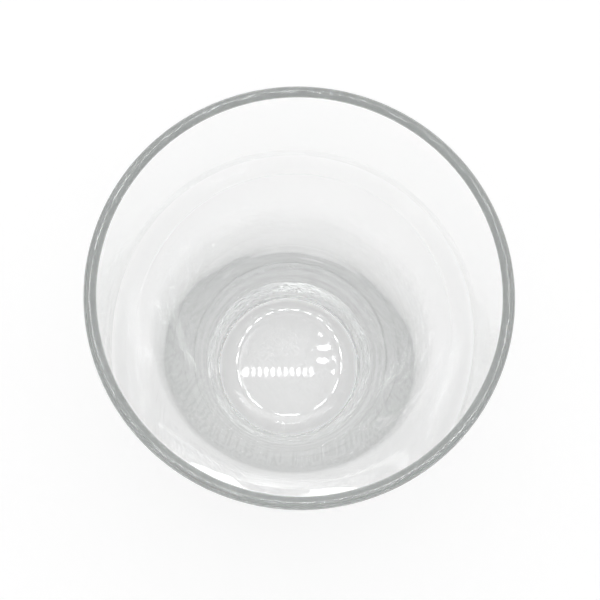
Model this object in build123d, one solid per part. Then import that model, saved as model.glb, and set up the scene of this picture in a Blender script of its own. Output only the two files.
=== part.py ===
"""A one-piece clear bar mixing glass: a tapered tumbler with a thick base and a round lip.

The whole glass is one moulded piece, so it is one solid: one closed outline turned about +Z.
The frame's origin is the centre of the plane that the glass stands on, with +Z up through the
mouth. All sizes are millimetres, and all angles are degrees.
"""

import math
import os

from build123d import *

# Overall sizes
HEIGHT = 149.0
RIM_DIAMETER = 88.9
FOOT_DIAMETER = 62.0  # across the widest part of the heel

# Lip
LIP_THICKNESS = 2.6  # the lip is a full round of this thickness

# Foot and underside
HEEL_RADIUS = 3.0  # round between the standing ring and the wall
RING_INNER_RADIUS = 21.5  # inner edge of the flat ring that the glass stands on
RECESS_DEPTH = 0.8  # small step up inside the standing ring
RECESS_ROUND = 3.0  # radius of the two rounds that make the step
PUNT_DEPTH = 1.1  # height of the middle of the underside above the standing plane

# Inside floor
FLOOR_THICKNESS = 12.0  # solid glass at the centre, from the standing plane to the floor
FLOOR_FLAT_RADIUS = 16.5  # the middle of the floor is flat out to here
KNUCKLE_RADIUS = 8.0  # small round between the flat floor and its sloping edge
EDGE_RADIUS = 25.0  # the floor's edge band is a hollow round
EDGE_START_SLOPE = 4.0  # slope of that band where it leaves the knuckle
EDGE_END_SLOPE = 12.5  # slope of that band where it meets the corner round
CORNER_RADIUS = 5.2  # round between the floor and the wall

# Inside wall, from the corner upward
SWEEP_RADIUS = 300.0  # large round just above the corner
SWEEP_LEAN = 14.0  # lean from vertical where it meets the corner round
BELLY_RADIUS = 700.0  # larger round that carries on up to the straight wall
BELLY_LEAN = 10.5  # lean from vertical where the two large rounds meet


def tangent_lean(low_centre, low_radius, high_centre, high_radius):
    """Lean from vertical of the line that touches both rounds on their outer side."""
    run = high_centre[0] - low_centre[0]
    rise = high_centre[1] - low_centre[1]
    turn = math.atan2(run, rise) - math.asin((low_radius - high_radius) / math.hypot(run, rise))
    return math.degrees(turn)


def on_round(centre, radius, angle):
    """The point of a round at an angle from the outward horizontal."""
    turn = math.radians(angle)
    return (centre[0] + radius * math.cos(turn), centre[1] + radius * math.sin(turn))


def round_line(centre, radius, start, end):
    """The part of a round from one angle to another."""
    middle = (start + end) / 2
    return ThreePointArc(
        on_round(centre, radius, start),
        on_round(centre, radius, middle),
        on_round(centre, radius, end),
    )


def glass_outline():
    """Half of the glass's cross-section, in radius and height, as a closed face."""
    lip = LIP_THICKNESS / 2
    lip_centre = (RIM_DIAMETER / 2 - lip, HEIGHT - lip)
    heel_centre = (FOOT_DIAMETER / 2 - HEEL_RADIUS, HEEL_RADIUS)

    # Inside: each round is tangent to the one before it
    knuckle_centre = (FLOOR_FLAT_RADIUS, FLOOR_THICKNESS + KNUCKLE_RADIUS)
    edge_start = EDGE_START_SLOPE - 90
    edge_end = EDGE_END_SLOPE - 90
    edge_centre = on_round(knuckle_centre, KNUCKLE_RADIUS - EDGE_RADIUS, edge_start)
    corner_centre = on_round(edge_centre, EDGE_RADIUS - CORNER_RADIUS, edge_end)
    sweep_centre = on_round(corner_centre, CORNER_RADIUS - SWEEP_RADIUS, -SWEEP_LEAN)
    belly_centre = on_round(sweep_centre, SWEEP_RADIUS - BELLY_RADIUS, -BELLY_LEAN)

    outer_lean = tangent_lean(heel_centre, HEEL_RADIUS, lip_centre, lip)
    inner_lean = tangent_lean(belly_centre, BELLY_RADIUS, lip_centre, -lip)
    lip_inside_turn = 180 - inner_lean

    # Underside: a shallow dome, a small rounded step, and the standing ring
    step_turn = math.degrees(math.acos(1 - RECESS_DEPTH / (2 * RECESS_ROUND)))
    step_radius = RING_INNER_RADIUS - 2 * RECESS_ROUND * math.sin(math.radians(step_turn))
    dome_rise = PUNT_DEPTH - RECESS_DEPTH
    dome_radius = (step_radius**2 + dome_rise**2) / (2 * dome_rise)
    dome_turn = math.degrees(math.asin(step_radius / dome_radius))
    dome_centre = (0.0, PUNT_DEPTH - dome_radius)
    step_top_centre = (step_radius, RECESS_DEPTH - RECESS_ROUND)
    step_foot_centre = (RING_INNER_RADIUS, RECESS_ROUND)

    with BuildSketch(Plane.XZ) as outline:
        with BuildLine():
            round_line(dome_centre, dome_radius, 90, 90 - dome_turn)
            round_line(step_top_centre, RECESS_ROUND, 90, 90 - step_turn)
            round_line(step_foot_centre, RECESS_ROUND, -90 - step_turn, -90)
            Line((RING_INNER_RADIUS, 0), (heel_centre[0], 0))
            round_line(heel_centre, HEEL_RADIUS, -90, -outer_lean)
            Line(on_round(heel_centre, HEEL_RADIUS, -outer_lean), on_round(lip_centre, lip, -outer_lean))
            round_line(lip_centre, lip, -outer_lean, lip_inside_turn)
            Line(
                on_round(lip_centre, lip, lip_inside_turn),
                on_round(belly_centre, BELLY_RADIUS, -inner_lean),
            )
            round_line(belly_centre, BELLY_RADIUS, -inner_lean, -BELLY_LEAN)
            round_line(sweep_centre, SWEEP_RADIUS, -BELLY_LEAN, -SWEEP_LEAN)
            round_line(corner_centre, CORNER_RADIUS, -SWEEP_LEAN, edge_end)
            round_line(edge_centre, EDGE_RADIUS, edge_end, edge_start)
            round_line(knuckle_centre, KNUCKLE_RADIUS, edge_start, -90)
            Line((FLOOR_FLAT_RADIUS, FLOOR_THICKNESS), (0, FLOOR_THICKNESS))
            Line((0, FLOOR_THICKNESS), (0, PUNT_DEPTH))
        make_face()
    return outline.sketch


def mixing_glass():
    """The glass: its outline turned once about the axis."""
    return revolve(glass_outline(), axis=Axis.Z)


def main():
    os.makedirs("parts", exist_ok=True)
    glass = mixing_glass()
    export_step(glass, "parts/mixing_glass.step")
    box = glass.bounding_box()
    print(f"glass {box.size.X:.2f} x {box.size.Y:.2f} x {box.size.Z:.2f} mm")
    print(f"glass volume {glass.volume / 1000:.1f} cm3, mass {glass.volume * 2.5e-3:.0f} g")


main()
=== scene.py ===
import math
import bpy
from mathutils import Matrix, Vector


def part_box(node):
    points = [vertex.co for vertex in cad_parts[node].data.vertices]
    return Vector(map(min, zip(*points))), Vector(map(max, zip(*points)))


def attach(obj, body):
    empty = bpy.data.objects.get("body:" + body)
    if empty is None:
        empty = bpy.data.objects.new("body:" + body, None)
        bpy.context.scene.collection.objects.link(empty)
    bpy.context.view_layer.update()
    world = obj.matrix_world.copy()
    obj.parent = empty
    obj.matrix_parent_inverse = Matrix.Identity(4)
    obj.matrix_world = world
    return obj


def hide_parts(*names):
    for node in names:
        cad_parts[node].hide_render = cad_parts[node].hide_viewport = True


bl_info = {
    "name": "Bar mixing glass",
    "version": (1, 0, 0),
    "blender": (4, 5, 0),
    "location": "3D View > Sidebar > Mixing Glass",
    "description": "Builds a clear tapered bar mixing glass on a pale studio floor",
    "category": "Object",
}

import bpy
from mathutils import Matrix, Vector

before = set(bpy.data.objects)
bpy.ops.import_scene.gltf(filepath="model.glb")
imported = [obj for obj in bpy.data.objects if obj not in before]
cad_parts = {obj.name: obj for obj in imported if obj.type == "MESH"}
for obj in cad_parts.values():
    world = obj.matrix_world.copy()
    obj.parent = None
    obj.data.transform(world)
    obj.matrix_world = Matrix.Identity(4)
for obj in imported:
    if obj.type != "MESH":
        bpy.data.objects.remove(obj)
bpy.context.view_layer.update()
GLASS_LOW, GLASS_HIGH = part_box("mixing_glass")
MM = 0.001

# Points along each part of the outline, enough that no facet shows through the glass
DOME_STEPS = 36
BEND_STEPS = 8
RING_STEPS = 5
HEEL_STEPS = 24
OUTER_WALL_STEPS = 60
LIP_STEPS = 32
INNER_WALL_STEPS = 70
SWEEP_STEPS = 60
CORNER_STEPS = 32
EDGE_STEPS = 12
KNUCKLE_STEPS = 10
FLAT_STEPS = 8

# Where the inside's unevenness lies, by height
RIPPLE_FADE_IN = (18 * MM, 32 * MM)
WAVES_FADE_OUT = (60 * MM, 146 * MM)
RINGS_HEIGHT = 34 * MM
RINGS_SPREAD = 16 * MM

# The frosted dome of the underside
FROST_TOP = 3 * MM  # every part of the underside is lower than this
FROST_EDGE = (19.2 * MM, 20.2 * MM)  # the frosting fades out between these radii
FROST_GRAIN = 1400.0
FROST_SPREAD = 0.4  # the frosting varies by this part of its mean
NOISE_RANGE = (0.35, 0.65)  # a noise texture's values lie mostly in here

# The studio
FLOOR_REACH = 6.0
FLOOR_GAP = 0.2 * MM  # the floor lies this far below the standing ring
SKY_TONES = ((0.0, 0.85), (0.35, 0.78), (0.6, 0.85), (1.0, 0.95))  # height, brightness
SKY_NEAR_SIDE = 0.75
SKY_FAR_SIDE = 1.1
LAMP_HEIGHT = 1.5
LIGHT_BOUNCES = 300


# ---------------------------------------------------------------- settings


class MixingGlassSizes(bpy.types.PropertyGroup):
    """Sizes of the moulded glass."""

    height: bpy.props.FloatProperty(
        name="Height",
        description="From the standing ring to the top of the lip",
        default=GLASS_HIGH[2] - GLASS_LOW[2],
        unit="LENGTH",
    )
    rim_diameter: bpy.props.FloatProperty(
        name="Rim diameter",
        description="Across the outside of the lip",
        default=GLASS_HIGH[0] - GLASS_LOW[0],
        unit="LENGTH",
    )
    foot_diameter: bpy.props.FloatProperty(
        name="Foot diameter",
        description="Across the widest part of the heel",
        default=62.0 * MM,
        unit="LENGTH",
    )
    lip_thickness: bpy.props.FloatProperty(
        name="Lip thickness",
        description="Diameter of the full round at the top of the wall",
        default=2.6 * MM,
        unit="LENGTH",
    )
    heel_radius: bpy.props.FloatProperty(
        name="Heel radius",
        description="Round between the standing ring and the wall",
        default=3.0 * MM,
        unit="LENGTH",
    )
    ring_inner_radius: bpy.props.FloatProperty(
        name="Standing ring inner radius",
        description="Where the raised underside begins",
        default=21.5 * MM,
        unit="LENGTH",
    )
    recess_depth: bpy.props.FloatProperty(
        name="Underside recess",
        description="Height of the small step inside the standing ring",
        default=0.8 * MM,
        unit="LENGTH",
    )
    recess_round: bpy.props.FloatProperty(
        name="Recess round",
        description="Radius of the two rounds that make the step",
        default=3.0 * MM,
        unit="LENGTH",
    )
    punt_depth: bpy.props.FloatProperty(
        name="Underside rise",
        description="How far the middle of the underside is above the standing plane",
        default=1.1 * MM,
        unit="LENGTH",
    )
    floor_thickness: bpy.props.FloatProperty(
        name="Floor height",
        description="From the standing plane to the middle of the inside floor",
        default=12.0 * MM,
        unit="LENGTH",
    )
    floor_flat_radius: bpy.props.FloatProperty(
        name="Flat floor radius",
        description="The middle of the inside floor is flat out to here",
        default=16.5 * MM,
        unit="LENGTH",
    )
    knuckle_radius: bpy.props.FloatProperty(
        name="Floor knuckle radius",
        description="Small round between the flat floor and its sloping edge",
        default=8.0 * MM,
        unit="LENGTH",
    )
    edge_start_slope: bpy.props.FloatProperty(
        name="Floor edge slope, inner end",
        description="Slope of the floor's edge band where it leaves the knuckle",
        default=math.radians(4.0),
        subtype="ANGLE",
    )
    edge_end_slope: bpy.props.FloatProperty(
        name="Floor edge slope, outer end",
        description="Slope of the floor's edge band where it meets the corner round",
        default=math.radians(12.5),
        subtype="ANGLE",
    )
    edge_radius: bpy.props.FloatProperty(
        name="Floor edge radius",
        description="Hollow round of the floor's edge band",
        default=25.0 * MM,
        unit="LENGTH",
    )
    corner_radius: bpy.props.FloatProperty(
        name="Inside corner radius",
        description="Round between the inside floor and the wall",
        default=5.2 * MM,
        unit="LENGTH",
    )
    sweep_radius: bpy.props.FloatProperty(
        name="Lower wall sweep radius",
        description="Large round of the inside wall just above the corner",
        default=300.0 * MM,
        unit="LENGTH",
    )
    sweep_lean: bpy.props.FloatProperty(
        name="Lower wall lean",
        description="Lean of the inside wall from vertical where it meets the corner round",
        default=math.radians(14.0),
        subtype="ANGLE",
    )
    belly_radius: bpy.props.FloatProperty(
        name="Middle wall sweep radius",
        description="Larger round that carries on from the lower sweep up to the straight wall",
        default=700.0 * MM,
        unit="LENGTH",
    )
    belly_lean: bpy.props.FloatProperty(
        name="Middle wall lean",
        description="Lean of the inside wall where the two sweeps meet",
        default=math.radians(10.5),
        subtype="ANGLE",
    )
    ripple: bpy.props.FloatProperty(
        name="Ripple",
        description="Height of the slow unevenness that moulding leaves on the inside",
        default=0.03 * MM,
        unit="LENGTH",
    )
    turns: bpy.props.IntProperty(
        name="Segments",
        description="Number of faces round the glass",
        default=432,
    )


class MixingGlassFinish(bpy.types.PropertyGroup):
    """Colour and clarity of the glass."""

    tint: bpy.props.FloatVectorProperty(
        name="Tint",
        description="Colour that thick glass takes",
        subtype="COLOR",
        size=3,
        default=(0.57, 0.595, 0.585),
    )
    tint_density: bpy.props.FloatProperty(
        name="Tint density",
        description="Strength of the tint per metre of glass",
        default=10.0,
    )
    refraction: bpy.props.FloatProperty(
        name="Refractive index",
        description="Soda-lime glass is about 1.52",
        default=1.52,
    )
    underside_roughness: bpy.props.FloatProperty(
        name="Underside roughness",
        description="How frosted the raised middle of the underside is",
        default=0.25,
    )


class MixingGlassStage(bpy.types.PropertyGroup):
    """Floor, light and camera."""

    floor_tone: bpy.props.FloatVectorProperty(
        name="Floor",
        description="Colour of the pale floor",
        subtype="COLOR",
        size=3,
        default=(0.75, 0.75, 0.75),
    )
    floor_glow: bpy.props.FloatProperty(
        name="Floor glow",
        description="Light that the floor gives off by itself, as a lit table does",
        default=0.42,
    )
    camera_distance: bpy.props.FloatProperty(
        name="Camera distance",
        description="From the camera to the middle of the mouth",
        default=183.3 * MM,
        unit="LENGTH",
    )
    camera_lean: bpy.props.FloatProperty(
        name="Camera lean",
        description="Angle between the line of sight and the glass's axis",
        default=math.radians(11.87),
        subtype="ANGLE",
    )
    camera_roll: bpy.props.FloatProperty(
        name="Camera roll",
        description="Turn of the camera about its own line of sight",
        default=math.radians(8.96),
        subtype="ANGLE",
    )
    camera_view: bpy.props.FloatProperty(
        name="Field of view",
        description="Width of the view",
        default=math.radians(37.046),
        subtype="ANGLE",
    )
    camera_pan: bpy.props.FloatProperty(
        name="Camera pan",
        description="Turn of the camera sideways from the middle of the mouth",
        default=math.radians(-0.06),
        subtype="ANGLE",
    )
    camera_tilt: bpy.props.FloatProperty(
        name="Camera tilt",
        description="Turn of the camera up or down from the middle of the mouth",
        default=math.radians(-0.79),
        subtype="ANGLE",
    )


# ---------------------------------------------------------------- the glass's outline


def tangent_lean(low_centre, low_radius, high_centre, high_radius):
    """Lean from vertical of the line that touches both rounds on their outer side."""
    run = high_centre[0] - low_centre[0]
    rise = high_centre[1] - low_centre[1]
    return math.atan2(run, rise) - math.asin((low_radius - high_radius) / math.hypot(run, rise))


def beside(centre, distance, lean):
    """The point at a distance from a centre, square to a line that leans outward."""
    return (centre[0] + distance * math.cos(lean), centre[1] - distance * math.sin(lean))


def below(centre, distance, slope):
    """The point at a distance below a centre, where a round has this slope."""
    return (centre[0] + distance * math.sin(slope), centre[1] - distance * math.cos(slope))


def arc(centre, radius, start, end, steps):
    """Points on a round from one angle to another, both ends included."""
    return [
        (
            centre[0] + radius * math.cos(start + (end - start) * i / steps),
            centre[1] + radius * math.sin(start + (end - start) * i / steps),
        )
        for i in range(steps + 1)
    ]


def line(a, b, steps):
    """Points on a straight run, without its ends."""
    run = b[0] - a[0]
    rise = b[1] - a[1]
    return [(a[0] + run * i / steps, a[1] + rise * i / steps) for i in range(1, steps)]


def glass_outline(sizes):
    """Outline from the middle of the underside, round the lip, to the middle of the floor.

    It comes with the number of the outline's point where the inside begins.
    """
    lip = sizes.lip_thickness / 2
    lip_centre = (sizes.rim_diameter / 2 - lip, sizes.height - lip)
    heel = sizes.heel_radius
    heel_centre = (sizes.foot_diameter / 2 - heel, heel)
    knuckle = sizes.knuckle_radius
    knuckle_centre = (sizes.floor_flat_radius, sizes.floor_thickness + knuckle)
    edge = sizes.edge_radius
    edge_centre = below(knuckle_centre, knuckle - edge, sizes.edge_start_slope)
    corner = sizes.corner_radius
    corner_centre = below(edge_centre, edge - corner, sizes.edge_end_slope)
    sweep = sizes.sweep_radius
    sweep_centre = beside(corner_centre, corner - sweep, sizes.sweep_lean)
    belly = sizes.belly_radius
    belly_centre = beside(sweep_centre, sweep - belly, sizes.belly_lean)

    outer_lean = tangent_lean(heel_centre, heel, lip_centre, lip)
    inner_lean = tangent_lean(belly_centre, belly, lip_centre, -lip)

    ring = sizes.ring_inner_radius
    bend = sizes.recess_round
    bend_turn = math.acos(1 - sizes.recess_depth / (2 * bend))
    step = ring - 2 * bend * math.sin(bend_turn)
    punt_rise = sizes.punt_depth - sizes.recess_depth
    punt_radius = (step**2 + punt_rise**2) / (2 * punt_rise)
    punt_turn = math.asin(step / punt_radius)
    up = math.pi / 2

    points = arc((0.0, sizes.punt_depth - punt_radius), punt_radius, up, up - punt_turn, DOME_STEPS)
    points += arc((step, sizes.recess_depth - bend), bend, up, up - bend_turn, BEND_STEPS)[1:]
    points += arc((ring, bend), bend, -up - bend_turn, -up, BEND_STEPS)[1:]
    points += line((ring, 0.0), (heel_centre[0], 0.0), RING_STEPS)
    points += arc(heel_centre, heel, -up, -outer_lean, HEEL_STEPS)
    wall_foot = beside(heel_centre, heel, outer_lean)
    wall_top = beside(lip_centre, lip, outer_lean)
    points += line(wall_foot, wall_top, OUTER_WALL_STEPS)
    points += arc(lip_centre, lip, -outer_lean, math.pi - inner_lean, LIP_STEPS)
    inside_from = len(points)
    inside_top = beside(lip_centre, -lip, inner_lean)
    inside_foot = beside(belly_centre, belly, inner_lean)
    points += line(inside_top, inside_foot, INNER_WALL_STEPS)
    points += arc(belly_centre, belly, -inner_lean, -sizes.belly_lean, SWEEP_STEPS)
    points += arc(sweep_centre, sweep, -sizes.belly_lean, -sizes.sweep_lean, SWEEP_STEPS)[1:]
    edge_end = sizes.edge_end_slope - up
    edge_start = sizes.edge_start_slope - up
    points += arc(corner_centre, corner, -sizes.sweep_lean, edge_end, CORNER_STEPS)[1:]
    points += arc(edge_centre, edge, edge_end, edge_start, EDGE_STEPS)[1:]
    points += arc(knuckle_centre, knuckle, edge_start, -up, KNUCKLE_STEPS)[1:]
    points += line(points[-1], (0.0, sizes.floor_thickness), FLAT_STEPS)
    points.append((0.0, sizes.floor_thickness))
    points[0] = (0.0, sizes.punt_depth)
    return points, inside_from


def ease(value, low, high):
    """0 below low, 1 above high, and a smooth change between them."""
    part = min(1.0, max(0.0, (value - low) / (high - low)))
    return part * part * (3 - 2 * part)


def ripple_at(angle, height, ripple):
    """Slow unevenness of the pressed inside: rings low down, broad waves higher up."""
    low = math.exp(-(((height - RINGS_HEIGHT) / RINGS_SPREAD) ** 2))
    rings = 0.5 * low * math.sin(height * 1050.0 + 0.4 * math.sin(angle + 0.7))
    waves = 0.5 * math.sin(3 * angle + height * 55.0 + 1.0)
    waves += 0.35 * math.sin(5 * angle - height * 90.0)
    waves += 0.22 * math.sin(11 * angle + height * 140.0 + 2.0)
    waves *= 1 - ease(height, *WAVES_FADE_OUT)
    return ripple * (rings + waves) * ease(height, *RIPPLE_FADE_IN)


def turned_mesh(name, outline, turns, inside_from, ripple):
    """A closed mesh: an outline that starts and ends on the axis, turned round +Z."""
    vertices = [(0.0, 0.0, outline[0][1])]
    for row, (radius, height) in enumerate(outline[1:-1], start=1):
        for i in range(turns):
            angle = 2 * math.pi * i / turns
            reach = radius
            if row > inside_from:
                reach -= ripple_at(angle, height, ripple)
            vertices.append((reach * math.cos(angle), reach * math.sin(angle), height))
    vertices.append((0.0, 0.0, outline[-1][1]))
    rings = len(outline) - 2
    last = len(vertices) - 1
    faces = [(0, 1 + (i + 1) % turns, 1 + i) for i in range(turns)]
    for ring in range(rings - 1):
        low = 1 + ring * turns
        high = low + turns
        for i in range(turns):
            j = (i + 1) % turns
            faces.append((low + i, low + j, high + j, high + i))
    top = 1 + (rings - 1) * turns
    faces += [(top + i, top + (i + 1) % turns, last) for i in range(turns)]
    mesh = bpy.data.meshes.new(name)
    mesh.from_pydata(vertices, [], faces)
    mesh.validate()
    for polygon in mesh.polygons:
        polygon.use_smooth = True
    return mesh


# ---------------------------------------------------------------- materials


def fresh_material(name):
    """A named material with an empty node tree."""
    material = bpy.data.materials.new(name)
    material.use_nodes = True
    material.node_tree.nodes.clear()
    return material


def clear_glass(finish):
    """Clear soda-lime glass: bright all over, but for a faintly frosted dome underneath."""
    material = fresh_material("clear_glass")
    tree = material.node_tree
    link = tree.links.new
    out = tree.nodes.new("ShaderNodeOutputMaterial")
    glass = tree.nodes.new("ShaderNodeBsdfPrincipled")
    glass.inputs["Base Color"].default_value = (1, 1, 1, 1)
    glass.inputs["IOR"].default_value = finish.refraction
    glass.inputs["Transmission Weight"].default_value = 1.0
    link(glass.outputs["BSDF"], out.inputs["Surface"])
    body = tree.nodes.new("ShaderNodeVolumeAbsorption")
    body.inputs["Color"].default_value = (*finish.tint, 1)
    body.inputs["Density"].default_value = finish.tint_density
    link(body.outputs["Volume"], out.inputs["Volume"])

    where = tree.nodes.new("ShaderNodeTexCoord")
    split = tree.nodes.new("ShaderNodeSeparateXYZ")
    link(where.outputs["Object"], split.inputs["Vector"])
    low = tree.nodes.new("ShaderNodeMath")
    low.operation = "LESS_THAN"
    low.inputs[1].default_value = FROST_TOP
    link(split.outputs["Z"], low.inputs[0])
    flat = tree.nodes.new("ShaderNodeVectorMath")
    flat.operation = "MULTIPLY"
    flat.inputs[1].default_value = (1, 1, 0)
    link(where.outputs["Object"], flat.inputs[0])
    reach = tree.nodes.new("ShaderNodeVectorMath")
    reach.operation = "LENGTH"
    link(flat.outputs["Vector"], reach.inputs[0])
    middle = tree.nodes.new("ShaderNodeMapRange")
    middle.interpolation_type = "SMOOTHSTEP"
    middle.inputs["From Min"].default_value = FROST_EDGE[0]
    middle.inputs["From Max"].default_value = FROST_EDGE[1]
    middle.inputs["To Min"].default_value = 1.0
    middle.inputs["To Max"].default_value = 0.0
    link(reach.outputs["Value"], middle.inputs["Value"])
    underside = tree.nodes.new("ShaderNodeMath")
    underside.operation = "MULTIPLY"
    link(low.outputs["Value"], underside.inputs[0])
    link(middle.outputs["Result"], underside.inputs[1])

    grain = tree.nodes.new("ShaderNodeTexNoise")
    grain.inputs["Scale"].default_value = FROST_GRAIN
    grain.inputs["Detail"].default_value = 3.0
    link(where.outputs["Object"], grain.inputs["Vector"])
    frost = tree.nodes.new("ShaderNodeMapRange")
    frost.inputs["From Min"].default_value = NOISE_RANGE[0]
    frost.inputs["From Max"].default_value = NOISE_RANGE[1]
    frost.inputs["To Min"].default_value = finish.underside_roughness * (1 - FROST_SPREAD)
    frost.inputs["To Max"].default_value = finish.underside_roughness * (1 + FROST_SPREAD)
    link(grain.outputs["Fac"], frost.inputs["Value"])
    rough = tree.nodes.new("ShaderNodeMath")
    rough.operation = "MULTIPLY"
    link(frost.outputs["Result"], rough.inputs[0])
    link(underside.outputs["Value"], rough.inputs[1])
    link(rough.outputs["Value"], glass.inputs["Roughness"])
    return material


# ---------------------------------------------------------------- the glass


class MIXINGGLASS_OT_glass(bpy.types.Operator):
    """Turn the glass and give it its material"""

    bl_idname = "mixingglass.glass"
    bl_label = "Build glass"

    def execute(self, context):
        sizes = context.scene.mixing_glass_sizes
        outline, inside_from = glass_outline(sizes)
        mesh = turned_mesh("moulded_glass", outline, sizes.turns, inside_from, sizes.ripple)
        piece = bpy.data.objects.new("moulded_glass", mesh)
        context.scene.collection.objects.link(piece)
        mesh.materials.append(clear_glass(context.scene.mixing_glass_finish))
        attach(piece, "root")
        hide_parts("mixing_glass")
        return {"FINISHED"}


# ---------------------------------------------------------------- the stage


def studio_floor(stage):
    """A broad plain pale floor."""
    side = FLOOR_REACH
    mesh = bpy.data.meshes.new("studio_floor")
    mesh.from_pydata(
        [(-side, -side, 0), (side, -side, 0), (side, side, 0), (-side, side, 0)], [], [(0, 1, 2, 3)]
    )
    floor = bpy.data.objects.new("studio_floor", mesh)
    floor.location.z = -FLOOR_GAP
    bpy.context.scene.collection.objects.link(floor)
    material = fresh_material("pale_floor")
    tree = material.node_tree
    out = tree.nodes.new("ShaderNodeOutputMaterial")
    paint = tree.nodes.new("ShaderNodeBsdfPrincipled")
    paint.inputs["Base Color"].default_value = (*stage.floor_tone, 1)
    paint.inputs["Roughness"].default_value = 0.9
    paint.inputs["Specular IOR Level"].default_value = 0.0
    paint.inputs["Emission Color"].default_value = (1, 1, 1, 1)
    paint.inputs["Emission Strength"].default_value = stage.floor_glow
    tree.links.new(paint.outputs["BSDF"], out.inputs["Surface"])
    mesh.materials.append(material)


def studio_world():
    """Surroundings: pale all round, and a little brighter on the far side."""
    world = bpy.data.worlds.new("studio")
    bpy.context.scene.world = world
    world.use_nodes = True
    tree = world.node_tree
    tree.nodes.clear()
    out = tree.nodes.new("ShaderNodeOutputWorld")
    background = tree.nodes.new("ShaderNodeBackground")
    where = tree.nodes.new("ShaderNodeTexCoord")
    parts = tree.nodes.new("ShaderNodeSeparateXYZ")
    tree.links.new(where.outputs["Generated"], parts.inputs["Vector"])
    tones = tree.nodes.new("ShaderNodeValToRGB")
    elements = tones.color_ramp.elements
    for height, _ in SKY_TONES[1:-1]:
        elements.new(height)
    for element, (height, tone) in zip(elements, SKY_TONES):
        element.position = height
        element.color = (tone, tone, tone, 1)
    tree.links.new(parts.outputs["Z"], tones.inputs["Fac"])
    tree.links.new(tones.outputs["Color"], background.inputs["Color"])
    side = tree.nodes.new("ShaderNodeMapRange")
    side.inputs["From Min"].default_value = -1.0
    side.inputs["From Max"].default_value = 1.0
    side.inputs["To Min"].default_value = SKY_NEAR_SIDE
    side.inputs["To Max"].default_value = SKY_FAR_SIDE
    tree.links.new(parts.outputs["Y"], side.inputs["Value"])
    tree.links.new(side.outputs["Result"], background.inputs["Strength"])
    tree.links.new(background.outputs["Background"], out.inputs["Surface"])


def lamp(name, place, width, depth, turn, strength):
    """One oval lamp facing straight down. It doesn't light the matt floor directly."""
    data = bpy.data.lights.new(name, "AREA")
    data.shape = "ELLIPSE"
    data.size = width
    data.size_y = depth
    data.energy = strength * math.pi * width * depth
    lit = bpy.data.objects.new(name, data)
    lit.location = (*place, LAMP_HEIGHT)
    lit.rotation_euler = (0, 0, turn)
    lit.visible_diffuse = False
    bpy.context.scene.collection.objects.link(lit)


def lamp_ring(radius, first, count, width, depth, strength):
    """A round of separate small lamps; first is the first one's place, in spacings."""
    for i in range(count):
        angle = 2 * math.pi * (i + first) / count
        place = (radius * math.cos(angle), radius * math.sin(angle))
        lamp(f"ring_lamp_{i:02d}", place, width, depth, angle + math.pi / 2, strength)


def lamp_bar(middle, turn, count, pitch, width, depth, strength):
    """A straight row of small lamps."""
    for i in range(count):
        shift = (i - (count - 1) / 2) * pitch
        place = (middle[0] + shift * math.cos(turn), middle[1] + shift * math.sin(turn))
        lamp(f"bar_lamp_{i:02d}", place, width, depth, turn, strength)


def studio_lamps(bar_turn):
    """A ring, three soft panels and three short rows of small lamps."""
    side_turn = math.radians(97)
    lamp_ring(radius=0.325, first=0.67, count=18, width=0.075, depth=0.062, strength=15.0)
    lamp("soft_panel", (0.0, 0.5), width=0.8, depth=0.22, turn=0.0, strength=1.5)
    lamp("side_panel_right", (0.125, 0.18), width=0.07, depth=0.24, turn=0.1, strength=3.0)
    lamp("side_panel_left", (-0.125, 0.20), width=0.05, depth=0.16, turn=-0.1, strength=2.0)
    lamp_bar((-0.017, 0.163), bar_turn, count=11, pitch=0.013, width=0.009, depth=0.020, strength=8.0)
    lamp_bar((0.062, 0.238), side_turn, count=4, pitch=0.026, width=0.012, depth=0.026, strength=12.0)
    lamp_bar((0.090, 0.222), side_turn, count=4, pitch=0.028, width=0.014, depth=0.022, strength=12.0)


def studio_camera(stage, mouth):
    """The camera, leaning back from straight above the mouth."""
    data = bpy.data.cameras.new("camera")
    data.sensor_width = 36.0
    data.angle = stage.camera_view
    camera = bpy.data.objects.new("camera", data)
    bpy.context.scene.collection.objects.link(camera)
    lean = stage.camera_lean
    back = Vector((0, -math.sin(lean), math.cos(lean)))
    side = Vector((1, 0, 0))
    above = back.cross(side)
    pan = Matrix.Rotation(stage.camera_pan, 3, above)
    back, side = pan @ back, pan @ side
    tilt = Matrix.Rotation(stage.camera_tilt, 3, side)
    back, above = tilt @ back, tilt @ above
    roll = stage.camera_roll
    right = side * math.cos(roll) + above * math.sin(roll)
    top = above * math.cos(roll) - side * math.sin(roll)
    turn = Matrix((right, top, back)).transposed().to_4x4()
    place = Vector(mouth) + Vector((0, -math.sin(lean), math.cos(lean))) * stage.camera_distance
    camera.matrix_world = Matrix.Translation(place) @ turn
    bpy.context.scene.camera = camera


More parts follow.
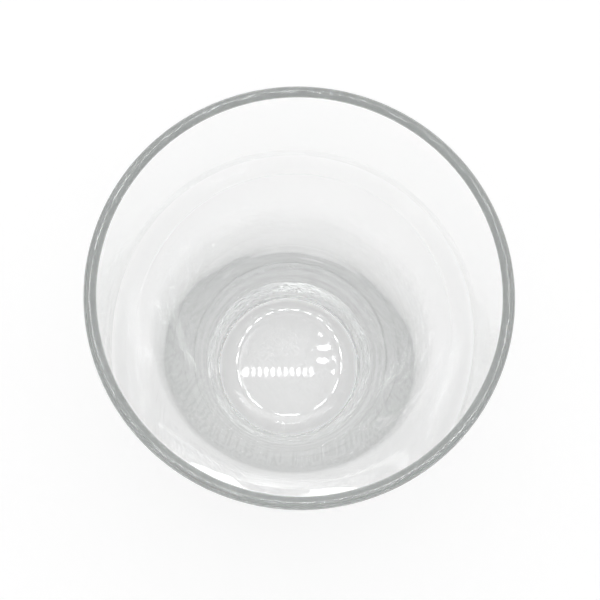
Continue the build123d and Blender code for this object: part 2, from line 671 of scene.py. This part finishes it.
class MIXINGGLASS_OT_stage(bpy.types.Operator):
    """Lay the pale floor and set the light and the camera"""

    bl_idname = "mixingglass.stage"
    bl_label = "Set stage"

    def execute(self, context):
        scene = context.scene
        stage = scene.mixing_glass_stage
        studio_floor(stage)
        studio_world()
        studio_lamps(stage.camera_roll)
        studio_camera(stage, (0, 0, scene.mixing_glass_sizes.height))
        scene.view_settings.view_transform = "Standard"
        scene.cycles.max_bounces = LIGHT_BOUNCES
        scene.cycles.transmission_bounces = LIGHT_BOUNCES
        scene.cycles.glossy_bounces = LIGHT_BOUNCES
        scene.cycles.sample_clamp_indirect = 0.0
        return {"FINISHED"}


# ---------------------------------------------------------------- panel and registration


class MIXINGGLASS_PT_panel(bpy.types.Panel):
    """Settings and build buttons"""

    bl_idname = "MIXINGGLASS_PT_panel"
    bl_label = "Mixing Glass"
    bl_space_type = "VIEW_3D"
    bl_region_type = "UI"
    bl_category = "Mixing Glass"

    def draw(self, context):
        layout = self.layout
        for group in ("mixing_glass_sizes", "mixing_glass_finish", "mixing_glass_stage"):
            settings = getattr(context.scene, group)
            box = layout.box()
            for key in settings.bl_rna.properties.keys():
                if key not in {"rna_type", "name"}:
                    box.prop(settings, key)
        layout.operator(MIXINGGLASS_OT_glass.bl_idname)
        layout.operator(MIXINGGLASS_OT_stage.bl_idname)


CLASSES = (
    MixingGlassSizes,
    MixingGlassFinish,
    MixingGlassStage,
    MIXINGGLASS_OT_glass,
    MIXINGGLASS_OT_stage,
    MIXINGGLASS_PT_panel,
)


def register():
    for cls in CLASSES:
        bpy.utils.register_class(cls)
    bpy.types.Scene.mixing_glass_sizes = bpy.props.PointerProperty(type=MixingGlassSizes)
    bpy.types.Scene.mixing_glass_finish = bpy.props.PointerProperty(type=MixingGlassFinish)
    bpy.types.Scene.mixing_glass_stage = bpy.props.PointerProperty(type=MixingGlassStage)


def unregister():
    del bpy.types.Scene.mixing_glass_stage
    del bpy.types.Scene.mixing_glass_finish
    del bpy.types.Scene.mixing_glass_sizes
    for cls in reversed(CLASSES):
        bpy.utils.unregister_class(cls)


def main():
    register()
    bpy.ops.mixingglass.glass()
    bpy.ops.mixingglass.stage()


if __name__ == "__main__":
    main()
